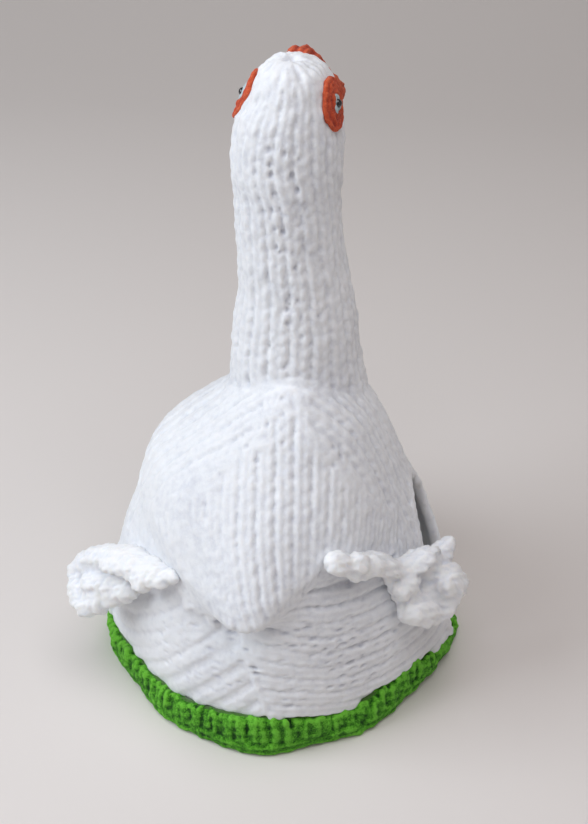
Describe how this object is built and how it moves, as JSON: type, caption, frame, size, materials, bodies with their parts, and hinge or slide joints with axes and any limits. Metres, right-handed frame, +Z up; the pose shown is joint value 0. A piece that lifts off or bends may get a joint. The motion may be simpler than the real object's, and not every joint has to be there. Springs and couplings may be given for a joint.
{
  "type": "tea cosy",
  "caption": "Hand-knitted tea cosy shaped as a goose: hollow domed body with side openings for a pot's spout and handle, stuffed neck and head, bill and frilled wings",
  "frame": {"origin": "centre of the bounding box's base, on the surface that the hem rests on", "axes": "+Z up along the neck; -Y is the side with the tail; +X is the side with the spout opening, -X the side with the handle opening; the bill looks towards +Y"},
  "size_m": [0.1838, 0.1731, 0.292],
  "materials": {
    "white_yarn": "matt knitted wool, off-white",
    "grass_yarn": "matt knitted wool, grass green",
    "orange_yarn": "matt knitted wool, orange",
    "grey_blue_yarn": "matt knitted wool, pale grey-blue",
    "black_bead": "glossy black bead"
  },
  "bodies": {
    "root": {"body_back": "white_yarn", "body_front": "white_yarn", "grass_border": "grass_yarn", "neck_head": "white_yarn", "bill": "orange_yarn", "eye_patch_left": "orange_yarn", "eye_patch_right": "orange_yarn", "iris_left": "grey_blue_yarn", "iris_right": "grey_blue_yarn", "pupil_left": "black_bead", "pupil_right": "black_bead", "wing_left": "white_yarn", "wing_right": "white_yarn"}
  },
  "joints": []
}
